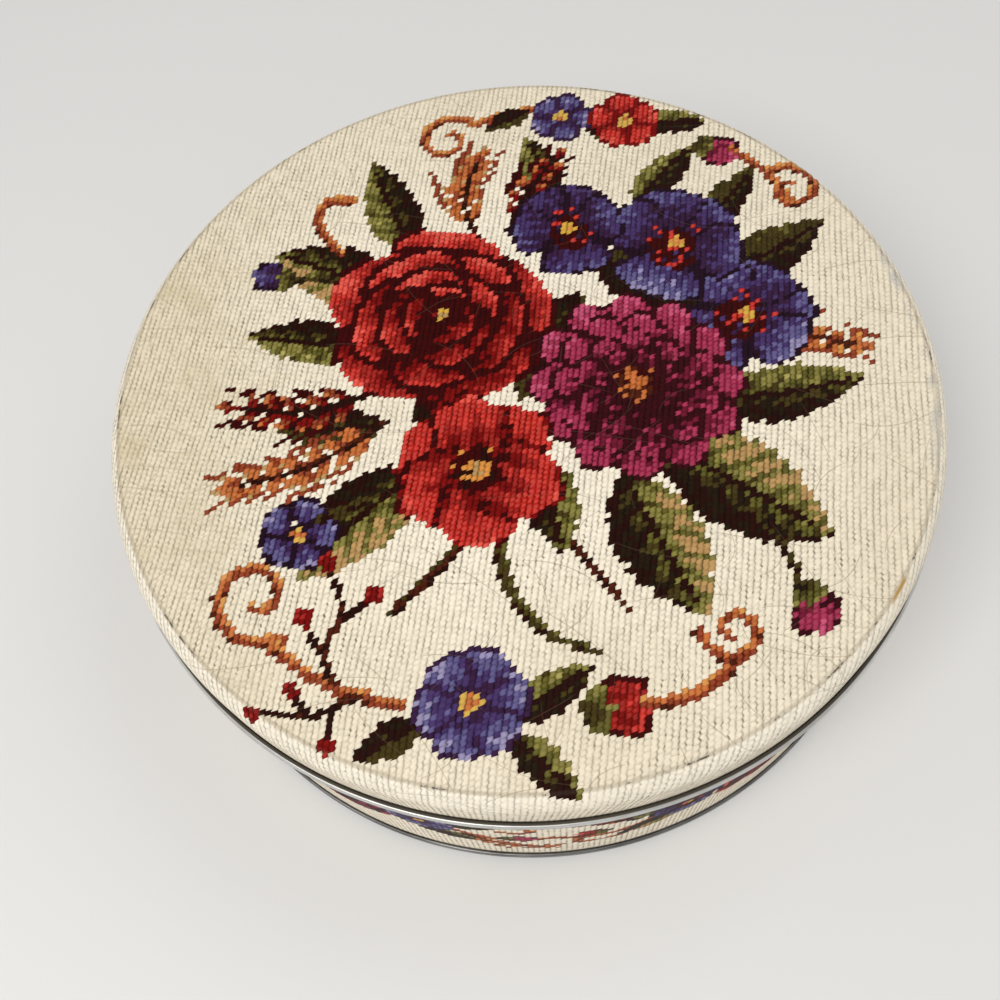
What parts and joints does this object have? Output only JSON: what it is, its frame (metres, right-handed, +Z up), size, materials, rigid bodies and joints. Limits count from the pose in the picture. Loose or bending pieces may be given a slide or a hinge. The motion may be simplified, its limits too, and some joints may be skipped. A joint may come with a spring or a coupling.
{
  "type": "bobbin box",
  "caption": "Round slip-lid tin with a canvas-work floral print, used to keep bobbins; the drawn lid lifts off the seamed body.",
  "frame": {"origin": "middle of the tin on the plane it stands on, the underside of the base seam", "axes": "+Z up through the middle of the lid, -Y to the front, +Y to the body's side seam"},
  "size_m": [0.2, 0.2, 0.0681],
  "materials": {
    "body_print": "printed canvas-work pattern under clear varnish",
    "base_tinplate": "bare tinplate, dulled",
    "lid_print": "printed canvas-work pattern under clear varnish"
  },
  "bodies": {
    "tin_body": {"body_wall": "body_print", "base": "base_tinplate"},
    "lid": {"lid": "lid_print"}
  },
  "joints": [
    {"name": "lid_lift", "type": "slide", "parent": "tin_body", "child": "lid", "axis": [0, 0, 1], "range_m": [0, 0.1]}
  ]
}
